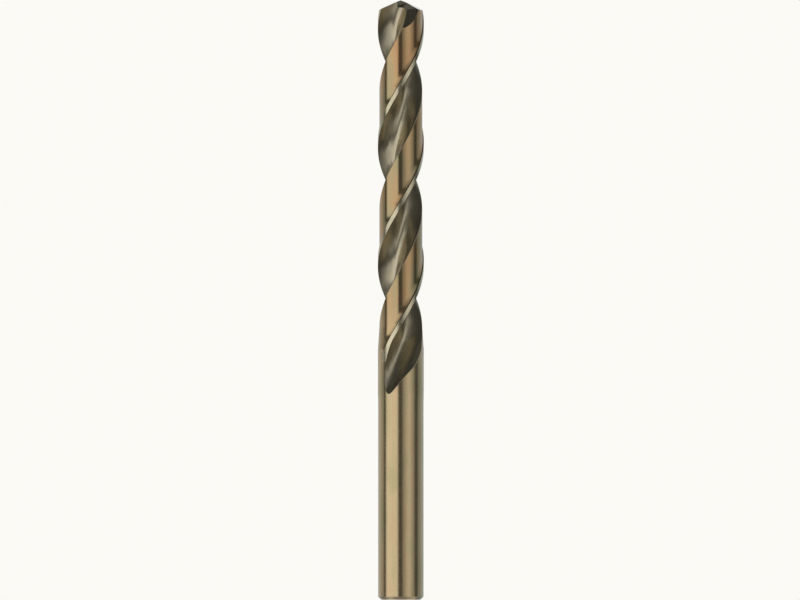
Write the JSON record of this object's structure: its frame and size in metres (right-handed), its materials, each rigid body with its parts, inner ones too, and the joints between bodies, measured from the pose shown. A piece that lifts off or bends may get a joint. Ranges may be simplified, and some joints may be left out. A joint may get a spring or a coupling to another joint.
{
  "type": "twist drill bit",
  "caption": "Straight-shank jobber twist drill in cobalt high-speed steel, right-hand flutes with relieved lands and margins, and a split point.",
  "frame": {"origin": "centre of the shank's end face, which the drill stands on", "axes": "+Z along the drill's axis, from the shank to the point; the two cutting lips lie along X at the point"},
  "size_m": [0.0102, 0.0102, 0.133],
  "materials": {
    "tempered_steel": "ground and tempered to a pale bronze"
  },
  "bodies": {
    "root": {"drill_bit": "tempered_steel"}
  },
  "joints": []
}
